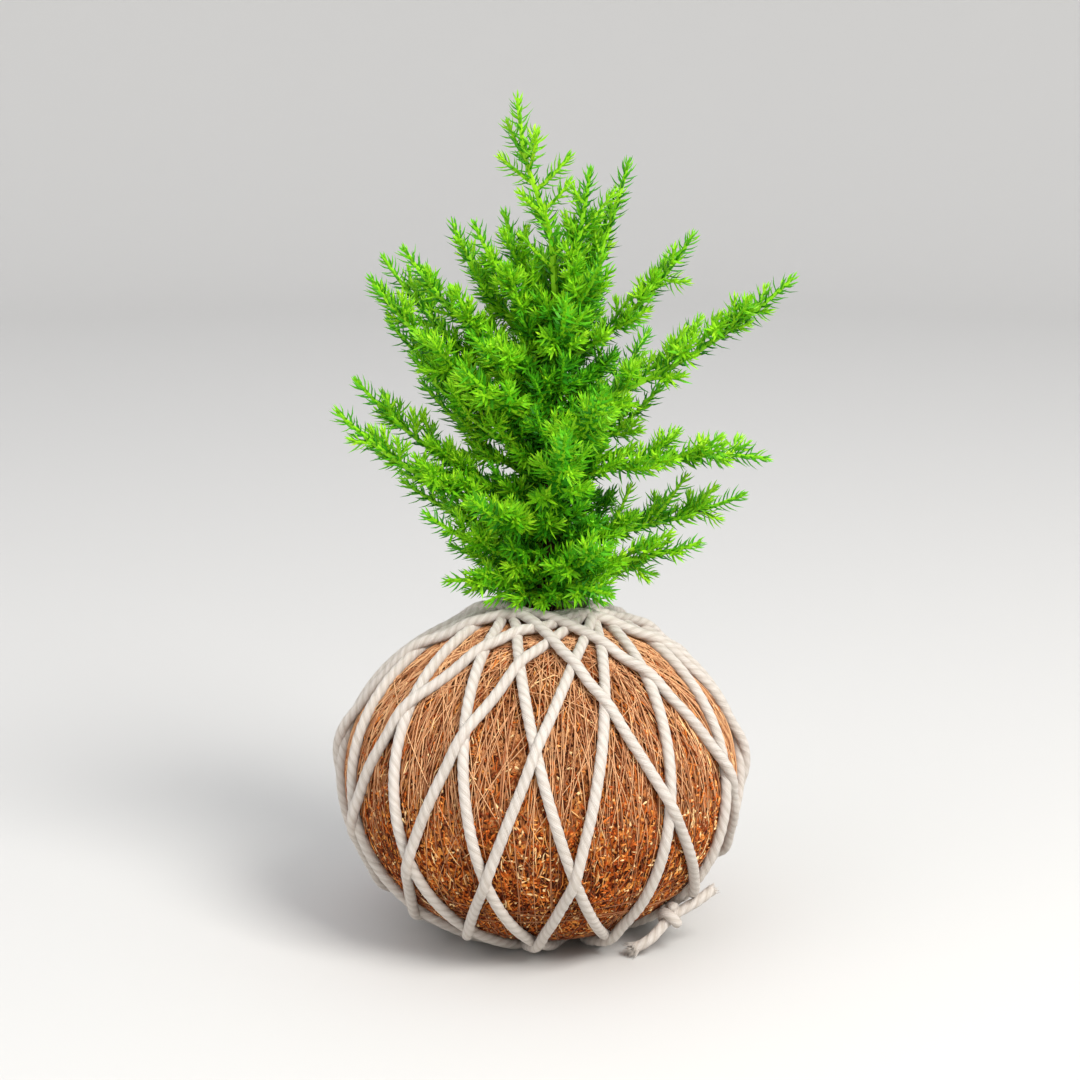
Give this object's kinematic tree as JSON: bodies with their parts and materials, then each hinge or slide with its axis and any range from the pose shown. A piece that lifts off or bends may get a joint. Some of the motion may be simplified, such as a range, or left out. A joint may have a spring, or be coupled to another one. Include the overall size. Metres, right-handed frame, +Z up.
{
  "type": "kokedama conifer plant",
  "caption": "Small needle-leaved conifer rooted in a flattened coir-fibre ball that is bound with brown thread and wound criss-cross with white cotton cord; stands on a flat spot.",
  "frame": {"origin": "middle of the flat spot under the ball, on the surface that it rests on", "axes": "+Z up along the plant, +X to the right seen from the front, +Y away from the front"},
  "size_m": [0.1243, 0.1148, 0.2254],
  "materials": {
    "soil": "dark damp crumbly potting soil",
    "coir": "rough reddish-brown coconut fibre and chips",
    "thread": "thin matt brown thread",
    "cord": "soft matt three-ply cotton cord, creamy white",
    "bark": "dark brown rough bark",
    "leaf": "bright yellow-green needle leaves, slightly waxy"
  },
  "bodies": {
    "root": {"soil_core": "soil", "coir_shell": "coir", "binding_thread": "thread", "cotton_cord": "cord", "trunk": "bark", "leader": "leaf", "spray_01": "leaf", "spray_02": "leaf", "spray_03": "leaf", "spray_04": "leaf", "spray_05": "leaf", "spray_06": "leaf", "spray_07": "leaf", "spray_08": "leaf", "spray_09": "leaf", "spray_10": "leaf", "spray_11": "leaf", "spray_12": "leaf", "spray_13": "leaf", "spray_14": "leaf", "spray_15": "leaf", "spray_16": "leaf", "spray_17": "leaf", "spray_18": "leaf", "spray_19": "leaf", "spray_20": "leaf", "spray_21": "leaf", "spray_22": "leaf", "spray_23": "leaf", "spray_24": "leaf", "spray_25": "leaf", "spray_26": "leaf", "spray_27": "leaf", "spray_28": "leaf", "spray_29": "leaf", "spray_30": "leaf", "spray_31": "leaf", "spray_32": "leaf", "spray_33": "leaf", "spray_34": "leaf", "spray_35": "leaf", "spray_36": "leaf", "spray_37": "leaf", "spray_38": "leaf", "spray_39": "leaf", "spray_40": "leaf", "spray_41": "leaf"}
  },
  "joints": []
}
